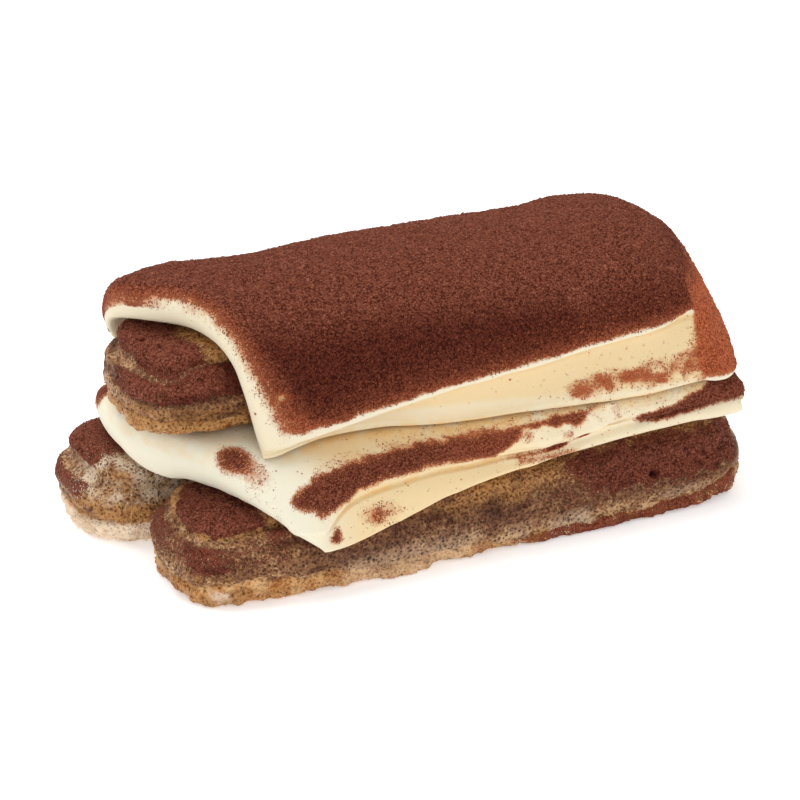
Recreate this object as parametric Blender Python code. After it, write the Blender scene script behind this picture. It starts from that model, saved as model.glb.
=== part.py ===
"""A tiramisu portion: ladyfinger biscuits under draped sheets of mascarpone cream, dusted with cocoa.

Two soaked biscuits lie side by side. A thick sheet of cream covers both. A third biscuit lies on it
along the middle, and a second sheet arches over that one and closes round its right end. The front of
each sheet is folded: a thin lip hangs over a bare face of cream, which ends in a rounded rim.

+X runs along the biscuits, -Y is the front and +Z is up. Lengths here are in millimetres, which MM
turns into metres. The portion is set out from the middle of the front biscuit's base, and its origin
is then put under the middle of the whole.
"""

import math
from collections import namedtuple

import bmesh
import bpy
from mathutils import Vector

MM = 0.001
GAP = 0.4  # between a sheet of cream and what it lies on
RIGHT_CLEARANCE = 2.4  # between a sheet and the right end of a biscuit

# Ladyfinger biscuits
BISCUIT_WIDTH = 29.9
FRONT_HEIGHT = 15.6
BACK_HEIGHT = 16.6
UPPER_HEIGHT = 15.6
BLUNTNESS = 2.5  # of an end in plan: 2 is round, more is squarer
END_DEPTH = 0.8  # how far an end reaches, as a share of half the width
STRAIGHT_STEPS = 5  # along half of a biscuit's side
END_STEPS = 8  # round half of an end
END_REACH = 22.0  # how far the ends' own shape reaches along a biscuit
BASE_LENGTH = 0.35  # of the innermost ring, as a share of the biscuit's length
SIDE_GAP = 0.4  # between the two lower biscuits

LOWER_LENGTH = 113.1
UPPER_LENGTH = 107.6
LOWER_FRONT_X = 0.0
LOWER_BACK_X = -6.3
UPPER_X = -4.8
UPPER_BASE = 26.8
BESIDE = (BISCUIT_WIDTH + SIDE_GAP) / 2  # y of the middle of a lower biscuit

# A biscuit's section from its base, out round its side and up to the middle of its crown, as shares
# of half its width and of its height. The last number is how much less of the width it has at the
# ends, where the base is rounded off and a crease runs under the crown.
SECTION = (
    (0.0, 0.0, 0.0),
    (0.45, 0.0, 0.0),
    (0.91, 0.0, 0.1),
    (0.965, 0.06, 0.09),
    (0.955, 0.18, 0.05),  # top edge of the base crust
    (0.99, 0.32, 0.01),
    (1.0, 0.46, 0.0),
    (0.97, 0.6, 0.02),
    (0.9, 0.69, 0.07),  # crease under the crown
    (0.87, 0.78, 0.02),
    (0.76, 0.9, 0.0),
    (0.5, 0.97, 0.0),
    (0.25, 0.995, 0.0),
    (0.0, 1.0, 0.0),
)
INNER_SPREAD = SECTION[1][0]
CROWN = SECTION[6:]  # from the widest point up

# Sheets of cream
LOWER_TOP = 26.4
VALLEY_FLOOR = 12.5  # how low the lower sheet sags between the biscuits
SHOULDER = 2.0  # how far the sagging stretch is kept clear of the biscuits' shoulders
UPPER_SHOULDER = 0.6  # the same for the upper sheet over its biscuit
LOWER_LEVEL_FROM = 38.0  # right of here the lower sheet keeps its height past the biscuits' ends
UPPER_RIGHT = 57.0
UPPER_ROUND_FROM = 40.0  # right of here the upper sheet rounds down to its right end
UPPER_ROUNDNESS = 2.25
UPPER_FOOT = 25.0
CUT_END = 44.8  # right end of the upper sheet's bare face
CUT_WIDTH = 0.8
END_INSETS = (0.0, 0.5, 1.6, 3.2, 5.0)  # of a sheet's first stations from either end
SQUARE_FROM = -20.0  # right of here the stations run straight across
FAN_STATIONS = 4  # left of it
MIDDLE_STATIONS = 9  # right of it
ARCH_ROWS = 18
END_THICKNESS = 0.12  # what is left of the thickness at the very end
EDGE_WIDTH = 0.6  # of the strip under a front or back edge
PATH_STEPS = 140
LIP_LIFT = 0.8  # least height of the arch above a lip

# The rounded rim and the lip of a fold, from the bottom up, as shares of their own height: how far
# in from the front, and how high.
RIM = ((0.5, 0.0), (0.12, 0.12), (0.0, 0.4), (0.1, 0.75), (0.4, 1.0))
LIP = ((1.0, -0.2), (0.2, -0.12), (0.0, 0.4))
FACE_SHARES = (0.33, 0.67)
FACE_HOLLOW = 0.3  # how far the bare face is hollowed, as a share of the recess

# What a sheet's arch and fold are at one x. The arch is a superellipse on its base. The fold has a
# front foot, a rim, a lip over a recess, and the height of the back foot.
Arch = namedtuple("Arch", "half_width height squareness base")
Fold = namedtuple("Fold", "foot_y foot_z rim lip_z lip recess back_z")

# A sheet of cream: functions of x for its arch, fold and underside, the height of what it rests on as
# a function of x and y, how much of the fold is closed at x, and the lines of its two ends as
# functions of the share of the sheet's width.
Sheet = namedtuple("Sheet", "arch fold under rest closed left right")


def smooth(share):
    """0 to 1 with no corner at either end."""
    share = min(max(share, 0.0), 1.0)
    return share * share * (3 - 2 * share)


def slope(low, high):
    return (high[1] - low[1]) / (high[0] - low[0])


def curve(place, *stops):
    """The height at place of a smooth curve through stops, each (place, height), level beyond them."""
    if place <= stops[0][0]:
        return stops[0][1]
    slopes = [0.0]
    for before, stop, after in zip(stops, stops[1:], stops[2:]):
        slopes.append((slope(before, stop) + slope(stop, after)) / 2)
    slopes.append(0.0)
    for index, ((low, start), (high, end)) in enumerate(zip(stops, stops[1:])):
        if place <= high:
            span = high - low
            share = (place - low) / span
            rise = start + (end - start) * smooth(share)
            leave = share * (1 - share) ** 2 * slopes[index] * span
            arrive = share**2 * (1 - share) * slopes[index + 1] * span
            return rise + leave - arrive
    return stops[-1][1]


def places(start, end):
    """Close, even places from start to end."""
    return [start + (end - start) * step / PATH_STEPS for step in range(PATH_STEPS + 1)]


def between(start, end, share):
    """The point at a share of the way from start to end."""
    return tuple(a + (b - a) * share for a, b in zip(start, end))


def length_shares(path):
    """How far along a path of (y, z) points each of them lies, from 0 to 1."""
    lengths = [0.0]
    for start, end in zip(path, path[1:]):
        lengths.append(lengths[-1] + math.dist(start, end))
    return [length / lengths[-1] for length in lengths]


def points_at(path, shares):
    """Points of a path at rising shares of its length."""
    stops = length_shares(path)
    points = []
    piece = 0
    for share in shares:
        while piece < len(path) - 2 and stops[piece + 1] < share:
            piece += 1
        part = (share - stops[piece]) / (stops[piece + 1] - stops[piece])
        points.append(between(path[piece], path[piece + 1], part))
    return points


def add_piece(name, bm, colour, roughness):
    """A smooth-shaded object in the portion's collection, with its own material."""
    bmesh.ops.recalc_face_normals(bm, faces=bm.faces[:])
    mesh = bpy.data.meshes.new(name)
    bm.to_mesh(mesh)
    bm.free()
    mesh.shade_smooth()
    material = bpy.data.materials.new(name)
    material.use_nodes = True
    shader = material.node_tree.nodes["Principled BSDF"]
    shader.inputs["Base Color"].default_value = (*colour, 1.0)
    shader.inputs["Roughness"].default_value = roughness
    mesh.materials.append(material)
    piece = bpy.data.objects.new(name, mesh)
    portion.objects.link(piece)
    return piece


# Ladyfinger biscuits


def quarter_outline(length):
    """A quarter of the plan, from the right end to the side: (middle of the end curve, beyond it, y)."""
    half_width = BISCUIT_WIDTH / 2
    straight = length / 2 - half_width * END_DEPTH
    points = []
    for step in range(END_STEPS):
        swing = math.pi / 2 * step / END_STEPS
        end_x = END_DEPTH * half_width * math.cos(swing) ** (2 / BLUNTNESS)
        points.append((straight, end_x, half_width * math.sin(swing) ** (2 / BLUNTNESS)))
    for step in range(STRAIGHT_STEPS + 1):
        points.append((straight * (1 - step / STRAIGHT_STEPS), 0.0, half_width))
    return points


def biscuit_outline(length):
    """The whole plan in the same terms, anticlockwise from the right end."""
    quarter = quarter_outline(length)
    half = quarter + [(-x, -end_x, y) for x, end_x, y in reversed(quarter[1:-1])]
    half.append((-quarter[0][0], -quarter[0][1], 0.0))
    return half + [(x, end_x, -y) for x, end_x, y in reversed(half[1:-1])]


def biscuit(name, length, height, place, phase, colour):
    """A sphere's rings and segments laid out as a ladyfinger, a little uneven along its length."""
    outline = biscuit_outline(length)
    rings = len(SECTION) - 1
    bm = bmesh.new()
    bmesh.ops.create_uvsphere(bm, u_segments=len(outline), v_segments=rings, radius=1)
    for vertex in bm.verts:
        level = round((math.asin(max(-1.0, min(1.0, vertex.co.z))) / math.pi + 0.5) * rings)
        turn = round(math.atan2(vertex.co.y, vertex.co.x) / math.tau * len(outline)) % len(outline)
        spread, lift, draw_in = SECTION[level]
        middle, end_x, y = outline[turn]
        spread -= draw_in * smooth(1 - (length / 2 - abs(middle)) / END_REACH)
        reach = 0.0
        if spread > 0:
            reach = BASE_LENGTH + (1 - BASE_LENGTH) * min(spread / INNER_SPREAD, 1)
        x = middle * reach + end_x * spread
        width = 0.975 + 0.015 * math.sin(x / 6.1 + phase) + 0.01 * math.sin(x / 2.9 + 2 * phase)
        rise = height * (0.985 + 0.015 * math.sin(x / 8.3 + 1.7 * phase))
        vertex.co = Vector((x, y * spread * width, lift * rise)) * MM
    piece = add_piece(name, bm, colour, 0.85)
    piece.location = Vector(place) * MM


def crown_height(x, y, length, height):
    """Height of the clear space over a biscuit at a point of its plan, or nothing beside the biscuit."""
    half_width = BISCUIT_WIDTH / 2
    straight = length / 2 - half_width * END_DEPTH
    clearance = RIGHT_CLEARANCE if x > 0 else GAP
    end_x = max(abs(x) - straight, 0.0) / (half_width * END_DEPTH + clearance)
    spread = (end_x**BLUNTNESS + (abs(y) / (half_width + GAP)) ** BLUNTNESS) ** (1 / BLUNTNESS)
    if spread > 1:
        return 0.0
    for (low_spread, low, _), (high_spread, high, _) in zip(CROWN, CROWN[1:]):
        if spread >= high_spread:
            share = (spread - high_spread) / (low_spread - high_spread)
            return GAP + height * (high + (low - high) * share)
    return GAP + height


# Sheets of cream


def arch_point(angle, arch):
    """(y, z) on a sheet's arch: angle is 0 at its front foot and pi at its back foot."""
    across = -math.cos(angle)
    up = max(math.sin(angle), 0.0)
    y = math.copysign(arch.half_width * abs(across) ** (2 / arch.squareness), across)
    return y, arch.base + arch.height * up ** (2 / arch.squareness)


def arch_angle(z, arch):
    """The angle at which the front of an arch has risen to z."""
    share = min(max((z - arch.base) / arch.height, 0.0), 1.0)
    return math.asin(share ** (arch.squareness / 2))


def outer_profile(x, sheet):
    """Points from the foot of the front rim up over the arch to the back foot."""
    arch = sheet.arch(x)
    fold = sheet.fold(x)
    start = arch_angle(fold.lip_z + LIP[-1][1] * fold.lip, arch)
    end = math.pi - arch_angle(fold.back_z, arch)
    rim = []
    for inward, up in RIM:
        y = fold.foot_y + inward * fold.rim
        rim.append((y, max(fold.foot_z + up * fold.rim, sheet.rest(x, y))))
    lip_y = arch_point(start, arch)[0]
    lip = [(lip_y + inward * fold.recess, fold.lip_z + up * fold.lip) for inward, up in LIP]
    face = [between(rim[-1], lip[0], share) for share in FACE_SHARES]
    face = [(y + fold.recess * FACE_HOLLOW, z) for y, z in face]
    front = []
    for y, z in face + lip:
        arch_y = arch_point(arch_angle(z, arch), arch)[0]
        front.append((y + (arch_y - y) * sheet.closed(x), z))
    angles = [start + (end - start) * step / ARCH_ROWS for step in range(1, ARCH_ROWS + 1)]
    return rim + front + [arch_point(angle, arch) for angle in angles]


def under_places(x, sheet):
    """y of the underside's points, from inside the front foot to inside the back foot."""
    fold = sheet.fold(x)
    arch = sheet.arch(x)
    back_y = arch_point(math.pi - arch_angle(fold.back_z, arch), arch)[0]
    return places(fold.foot_y + RIM[0][0] * fold.rim + EDGE_WIDTH, back_y - EDGE_WIDTH)


def evenly(start, end, count):
    """count places that divide the way from start to end evenly, without either."""
    return [start + (end - start) * step / (count + 1) for step in range(1, count + 1)]


def station_places(start, end):
    """x of each station of a row: close at its ends and where the bare face ends, and even between."""
    first = [start + inset for inset in END_INSETS]
    last = [end - inset for inset in reversed(END_INSETS)]
    cut = [CUT_END - 0.6 * CUT_WIDTH, CUT_END + 0.6 * CUT_WIDTH]
    fan = evenly(first[-1], SQUARE_FROM, FAN_STATIONS) + [SQUARE_FROM]
    middle = evenly(SQUARE_FROM, cut[0], MIDDLE_STATIONS)
    return first + fan + middle + cut + evenly(cut[1], last[0], 1) + last


def end_place(end, row, sheet):
    """x where a row of the profile meets an end, whose line is end(share of the sheet's width)."""
    x = end(0.5)
    for _ in range(8):
        x = (x + end(length_shares(outer_profile(x, sheet))[row])) / 2
    return x


def end_thickness(inset, rounding):
    """Share of a sheet's thickness at a distance in from its rounded end."""
    share = min(max(inset / rounding, 0.0), 1.0)
    return END_THICKNESS + (1 - END_THICKNESS) * math.sqrt(1 - (1 - share) ** 2)


def cream(name, sheet, left_rounding, right_rounding, colour):
    """A slab: a grid of stations along x and rows across, extruded and bent to its two profiles."""
    rows = len(outer_profile(0.0, sheet))
    ends = [(end_place(sheet.left, row, sheet), end_place(sheet.right, row, sheet)) for row in range(rows)]
    stations = len(station_places(0.0, 0.0))
    bm = bmesh.new()
    bmesh.ops.create_grid(bm, x_segments=stations - 1, y_segments=rows - 1, size=0.5)
    lower_side = set(bm.verts)
    bmesh.ops.extrude_face_region(bm, geom=bm.faces[:])
    for vertex in bm.verts:
        station = round((vertex.co.x + 0.5) * (stations - 1))
        row = round((vertex.co.y + 0.5) * (rows - 1))
        start, end = ends[row]
        x = station_places(start, end)[station]
        over = outer_profile(x, sheet)
        under = points_at(sheet.under(x), length_shares(over))
        thickness = min(end_thickness(x - start, left_rounding), end_thickness(end - x, right_rounding))
        side = -0.5 if vertex in lower_side else 0.5
        y, z = between(under[row], over[row], 0.5 + side * thickness)
        vertex.co = Vector((x, y, z)) * MM
    add_piece(name, bm, colour, 0.45)


# The lower sheet lies on the two lower biscuits.


def lower_arch(x):
    half_width = curve(x, (-30, 32.0), (0, 30.8), (20, 30.4))
    squareness = curve(x, (-30, 2.7), (-15, 2.9), (8, 4.2), (26, 6.0))
    base = curve(x, (-30, 8.0), (20, 14.0))
    return Arch(half_width, LOWER_TOP - base, squareness, base)


def lower_fold(x):
    foot_y = curve(x, (-33, -32.2), (-8, -30.8), (15, -29.8), (30, -29.5))
    foot_z = curve(x, (-33, 8.4), (-17, 11.6), (-7, 14.0), (12, 16.0), (31, 16.8), (52, 17.2))
    rim = curve(x, (-32, 1.6), (10, 1.6), (30, 3.0), (52, 3.6))
    lip_z = curve(x, (-33, 12.6), (-28, 17.0), (-20, 18.4), (-7, 19.4), (15, 20.3), (30, 21.2), (52, 21.6))
    recess = curve(x, (-32, 0.2), (-20, 1.0), (5, 0.9), (25, 0.0))
    return Fold(foot_y, foot_z, rim, lip_z, 1.8, recess, 12.0)


def lower_rest(x, y):
    return 0.0


def lower_top(x, y):
    """Height of the lower sheet's top."""
    arch = lower_arch(x)
    share = min(abs(y) / arch.half_width, 0.999)
    return arch.base + arch.height * (1 - share**arch.squareness) ** (1 / arch.squareness)


def biscuits_top(x, y):
    """Height of the clear space over the two lower biscuits."""
    x = min(x, LOWER_LEVEL_FROM)
    front = crown_height(x - LOWER_FRONT_X, y + BESIDE, LOWER_LENGTH, FRONT_HEIGHT)
    back = crown_height(x - LOWER_BACK_X, y - BESIDE, LOWER_LENGTH, BACK_HEIGHT)
    return max(front, back)


def lower_under(x):
    """The side that lies on the two biscuits and sags a little between them."""
    fold = lower_fold(x)
    path = []
    for y in under_places(x, lower_sheet):
        floor = curve(y, (-25, fold.foot_z), (-14, VALLEY_FLOOR), (14, VALLEY_FLOOR), (25, fold.back_z))
        aside = SHOULDER if abs(y) < BESIDE else 0.0
        path.append((y, max(biscuits_top(x, y - aside), biscuits_top(x, y + aside), floor)))
    return path


def lower_closed(x):
    return 0.0


def lower_left(share):
    nose = ((0.35, -49.8), (0.5, -55.8), (0.6, -57.0), (0.78, -55.2), (1.0, -48.0))
    return curve(share, (0.0, -32.4), (0.07, -37.8), (0.18, -44.1), *nose)


def lower_right(share):
    return curve(share, (0.0, 53.6), (0.1, 54.0), (0.25, 53.2), (0.5, 53.0), (1.0, 51.4))


# The upper sheet lies on the lower one and arches over the upper biscuit.


def upper_arch(x):
    half_width = curve(x, (-40, 23.5), (-10, 26.0), (30, 28.0), (50, 28.0), (53, 26.8), (57, 15.5))
    left_ridge = ((-57, 49.7), (-46, 51.6), (-33, 50.5), (-20, 50.2), (-5, 50.4))
    ridge = curve(x, *left_ridge, (17, 49.4), (26, 48.9), (37, 49.8))
    squareness = curve(x, (36, 2.4), (44, 2.1), (48, 1.8), (51.5, 1.45), (55, 1.2))
    beyond = min(max(x - UPPER_ROUND_FROM, 0.0) / (UPPER_RIGHT - UPPER_ROUND_FROM), 1.0)
    fall = max((1 - beyond**UPPER_ROUNDNESS) ** (1 / UPPER_ROUNDNESS), 0.1)
    base = curve(x, (50, UPPER_FOOT), (57, LOWER_TOP + 2 * GAP))
    return Arch(half_width, (ridge - UPPER_FOOT) * fall, squareness, base)


def upper_fold(x):
    left_foot = ((-40, -22.6), (-28, -20.3), (-15, -21.3), (-5, -24.3), (8, -26.5), (24, -28.9))
    foot_y = curve(x, *left_foot, (44, -29.0), (52.6, -27.6), (57, -14.5))
    rim = curve(x, (-40, 1.2), (0, 1.4), (30, 3.2), (45, 3.6), (57, 1.2))
    left_lip = ((-40, 26.0), (-33, 26.6), (-24, 28.2), (-11, 30.8), (5, 32.5), (26, 34.7))
    lip_z = curve(x, *left_lip, (38, 35.6), (45, 37.4), (50, 33.0), (57, 28.8))
    recess = curve(x, (-38, 0.2), (-24, 0.6), (0, 1.2), (40, 1.4))
    arch = upper_arch(x)
    lip_z = min(lip_z, arch.base + arch.height - LIP_LIFT)
    return Fold(foot_y, upper_rest(x, foot_y), rim, lip_z, 1.6, recess, arch.base + 1.5 * GAP)


def upper_rest(x, y):
    return lower_top(x, y) + GAP


def upper_under(x):
    """The side that lies on the lower sheet, and over the upper biscuit."""
    path = []
    for y in under_places(x, upper_sheet):
        inward_y = max(abs(y) - UPPER_SHOULDER, 0.0)
        crown = crown_height(x - UPPER_X, inward_y, UPPER_LENGTH, UPPER_HEIGHT)
        biscuit_top = UPPER_BASE + crown if crown else 0.0
        path.append((y, max(biscuit_top, upper_rest(x, y))))
    return path


def upper_closed(x):
    """The fold is closed right of the bare face, where the sheet runs down to its rim."""
    return smooth((x - CUT_END) / CUT_WIDTH + 0.5)


def upper_left(share):
    shoulder = ((0.25, -43.0), (0.35, -45.2), (0.43, -48.0), (0.5, -52.4), (0.6, -56.0))
    return curve(share, (0.0, -39.8), (0.1, -40.6), *shoulder, (0.7, -55.4), (1.0, -48.0))


def upper_right(share):
    return UPPER_RIGHT


lower_sheet = Sheet(
    lower_arch, lower_fold, lower_under, lower_rest, lower_closed, lower_left, lower_right
)
upper_sheet = Sheet(
    upper_arch, upper_fold, upper_under, upper_rest, upper_closed, upper_left, upper_right
)

for old in list(bpy.data.objects):
    bpy.data.objects.remove(old)
portion = bpy.data.collections.new("tiramisu_portion")
bpy.context.scene.collection.children.link(portion)

soaked_brown = (0.30, 0.19, 0.10)
light_brown = (0.42, 0.27, 0.14)
cream_yellow = (0.86, 0.78, 0.56)
cocoa_brown = (0.20, 0.07, 0.03)
front_place = (LOWER_FRONT_X, -BESIDE, 0.0)
back_place = (LOWER_BACK_X, BESIDE, 0.0)
upper_place = (UPPER_X, 0.0, UPPER_BASE)
biscuit("biscuit_lower_front", LOWER_LENGTH, FRONT_HEIGHT, front_place, 0.4, soaked_brown)
biscuit("biscuit_lower_back", LOWER_LENGTH, BACK_HEIGHT, back_place, 2.1, light_brown)
biscuit("biscuit_upper", UPPER_LENGTH, UPPER_HEIGHT, upper_place, 4.0, soaked_brown)
cream("cream_lower", lower_sheet, 4.2, 2.5, cream_yellow)
cream("cream_upper", upper_sheet, 4.2, 1.5, cocoa_brown)

# The origin goes under the middle of the whole.
corners = [piece.location + vertex.co for piece in portion.objects for vertex in piece.data.vertices]
middle_x = (min(corner.x for corner in corners) + max(corner.x for corner in corners)) / 2
middle_y = (min(corner.y for corner in corners) + max(corner.y for corner in corners)) / 2
lowest = min(corner.z for corner in corners)
for piece in portion.objects:
    piece.location -= Vector((middle_x, middle_y, lowest))
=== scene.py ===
"""The looks of a tiramisu portion: its soaked biscuits, its sheets of cream and its cocoa."""

import itertools
import math

import bmesh
import bpy
import numpy as np
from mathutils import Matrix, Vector


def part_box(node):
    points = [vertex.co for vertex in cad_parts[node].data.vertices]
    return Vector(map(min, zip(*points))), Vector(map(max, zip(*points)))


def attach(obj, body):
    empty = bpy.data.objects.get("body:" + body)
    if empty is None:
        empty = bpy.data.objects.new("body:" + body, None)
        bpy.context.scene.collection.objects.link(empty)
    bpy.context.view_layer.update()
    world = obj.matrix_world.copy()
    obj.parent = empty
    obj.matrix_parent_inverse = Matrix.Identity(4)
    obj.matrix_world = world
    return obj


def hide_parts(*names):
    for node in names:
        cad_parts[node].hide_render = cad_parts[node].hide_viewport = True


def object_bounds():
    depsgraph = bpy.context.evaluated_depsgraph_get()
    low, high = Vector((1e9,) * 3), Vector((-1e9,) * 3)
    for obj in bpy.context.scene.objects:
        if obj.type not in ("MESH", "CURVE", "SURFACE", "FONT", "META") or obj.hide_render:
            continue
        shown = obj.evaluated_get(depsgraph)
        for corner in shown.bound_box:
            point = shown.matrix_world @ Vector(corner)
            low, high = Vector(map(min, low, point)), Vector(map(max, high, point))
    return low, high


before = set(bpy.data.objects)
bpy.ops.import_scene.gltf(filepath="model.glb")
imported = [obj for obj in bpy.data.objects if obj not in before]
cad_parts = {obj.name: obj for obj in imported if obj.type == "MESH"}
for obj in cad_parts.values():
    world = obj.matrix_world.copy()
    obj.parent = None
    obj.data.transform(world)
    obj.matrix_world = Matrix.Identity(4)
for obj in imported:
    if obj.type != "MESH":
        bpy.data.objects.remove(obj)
cad_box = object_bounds()
MM = 0.001

# Lower biscuits: two ladyfingers of dry sponge, dipped in coffee and laid side by side. The piped
# sponge shows a rounded crown over a crease, a porous wet side and a ragged sugar crust along its base.
# They are the bottom of the portion, and everything else lies on them.

WELD = 0.01
QUAD_ANGLE = math.radians(60)
SMOOTHING_LEVELS = 3
BOX_LOW = np.array(cad_box[0]) / MM
BOX_HIGH = np.array(cad_box[1]) / MM
CELL_MIXING = np.array((127.1, 311.7, 74.7))
SEED_STEP = 17.31
SCRAMBLING = 43758.5453
FINER_SHARE = 0.6


def lattice(cells, seed):
    """A number from 0 to 1 for each cell, always the same for the same cell."""
    mixed = np.sin(cells @ CELL_MIXING + seed * SEED_STEP) * SCRAMBLING
    return mixed - np.floor(mixed)


def lumps(points, size, seed):
    """Smooth noise from -1 to 1 with lumps of about a size."""
    place = points / size
    cell = np.floor(place)
    share = place - cell
    share = share * share * (3 - 2 * share)
    total = np.zeros(len(points))
    for corner in itertools.product((0, 1), repeat=3):
        weight = np.prod(np.where(np.array(corner) > 0, share, 1 - share), axis=1)
        total += weight * lattice(cell + np.array(corner), seed)
    return total * 2 - 1


def layered(points, size, seed, layers=3):
    """Lumps with finer and lower lumps on them."""
    total = np.zeros(len(points))
    for layer in range(layers):
        total += lumps(points, size / 2**layer, seed + layer) * FINER_SHARE**layer
    return total


def cell_distance(points, size, seed):
    """Distance to the nearest of scattered spots about a size apart, as a share of the size."""
    place = points / size
    cell = np.floor(place)
    nearest = np.full(len(points), np.inf)
    for step in itertools.product((-1, 0, 1), repeat=3):
        spot = cell + np.array(step)
        offset = np.stack([lattice(spot, seed + axis) for axis in range(3)], axis=1)
        nearest = np.minimum(nearest, np.linalg.norm(place - spot - offset, axis=1))
    return nearest


def ramp(low, high, value):
    """0 below low, 1 above high and smooth between them, or the other way round where low is more."""
    share = np.clip((value - low) / (high - low), 0, 1)
    return share * share * (3 - 2 * share)


def between(value, low, high, soft):
    """1 well inside a stretch of values, 0 well outside it, and a half at its ends."""
    return ramp(-soft, soft, np.minimum(value - low, high - value))


def near(points, middle, reach):
    """1 at a point, falling smoothly to 0 at a distance from it, which may differ along x, y and z."""
    return ramp(1.0, 0.0, np.linalg.norm((points - np.array(middle)) / np.array(reach), axis=1))


def node_box(node):
    """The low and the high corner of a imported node, in millimetres."""
    return [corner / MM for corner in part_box(node)]


def fine_piece(name, node):
    """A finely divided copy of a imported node, with its triangles joined to quads and smoothed."""
    bm = bmesh.new()
    bm.from_mesh(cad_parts[node].data)
    bmesh.ops.remove_doubles(bm, verts=bm.verts[:], dist=WELD * MM)
    bmesh.ops.join_triangles(
        bm, faces=bm.faces[:], angle_face_threshold=QUAD_ANGLE, angle_shape_threshold=math.pi
    )
    mesh = bpy.data.meshes.new(name)
    bm.to_mesh(mesh)
    bm.free()
    piece = bpy.data.objects.new(name, mesh)
    bpy.context.scene.collection.objects.link(piece)
    smoothing = piece.modifiers.new("smoothing", "SUBSURF")
    smoothing.levels = SMOOTHING_LEVELS
    smoothing.render_levels = SMOOTHING_LEVELS
    graph = bpy.context.evaluated_depsgraph_get()
    fine = bpy.data.meshes.new_from_object(piece.evaluated_get(graph))
    piece.modifiers.clear()
    piece.data = fine
    fine.name = name
    return piece


def divide(piece, wanted):
    """Divides once more the faces that wanted(middles, normals) marks."""
    bm = bmesh.new()
    bm.from_mesh(piece.data)
    middles = np.array([face.calc_center_median() for face in bm.faces]) / MM
    normals = np.array([face.normal for face in bm.faces])
    marked = wanted(middles, normals)
    edges = {edge for face, chosen in zip(bm.faces, marked) if chosen for edge in face.edges}
    bmesh.ops.subdivide_edges(bm, edges=list(edges), cuts=1, use_grid_fill=True)
    bm.to_mesh(piece.data)
    bm.free()


def read_shape(piece):
    """A piece's points, in millimetres, and their normals."""
    mesh = piece.data
    points = np.empty(len(mesh.vertices) * 3)
    mesh.vertices.foreach_get("co", points)
    normals = np.empty(len(mesh.vertices) * 3)
    mesh.vertex_normals.foreach_get("vector", normals)
    return points.reshape(-1, 3) / MM, normals.reshape(-1, 3)


def write_shape(piece, points):
    """Moves a piece's points to places inside the portion's box."""
    points = np.clip(points, BOX_LOW, BOX_HIGH)
    piece.data.vertices.foreach_set("co", (points * MM).ravel())
    piece.data.update()
    piece.data.shade_smooth()


def paint(piece, **amounts):
    """Stores a number for each point, or one number for them all, which the finishes read."""
    for name, values in amounts.items():
        layer = piece.data.attributes.new(name, "FLOAT", "POINT")
        limited = np.broadcast_to(np.clip(values, 0, 2), len(piece.data.vertices))
        layer.data.foreach_set("value", limited.astype(np.float32))


class Value:
    """A socket in a finish. Arithmetic on it adds Math nodes."""

    def __init__(self, finish, socket):
        self.finish = finish
        self.socket = socket

    def math(self, operation, first, second):
        return self.finish.node("Math", {"operation": operation}, {0: first, 1: second})

    def __add__(self, other):
        return self.math("ADD", self, other)

    def __sub__(self, other):
        return self.math("SUBTRACT", self, other)

    def __rsub__(self, other):
        return self.math("SUBTRACT", other, self)

    def __mul__(self, other):
        return self.math("MULTIPLY", self, other)

    def ramp(self, low, high):
        """0 below low, 1 above high, or the other way round where low is more."""
        settings = {"interpolation_type": "SMOOTHSTEP"}
        if low < high:
            return self.finish.node("MapRange", settings, {0: self, 1: low, 2: high})
        return 1 - self.finish.node("MapRange", settings, {0: self, 1: high, 2: low})

    __radd__ = __add__
    __rmul__ = __mul__


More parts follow.
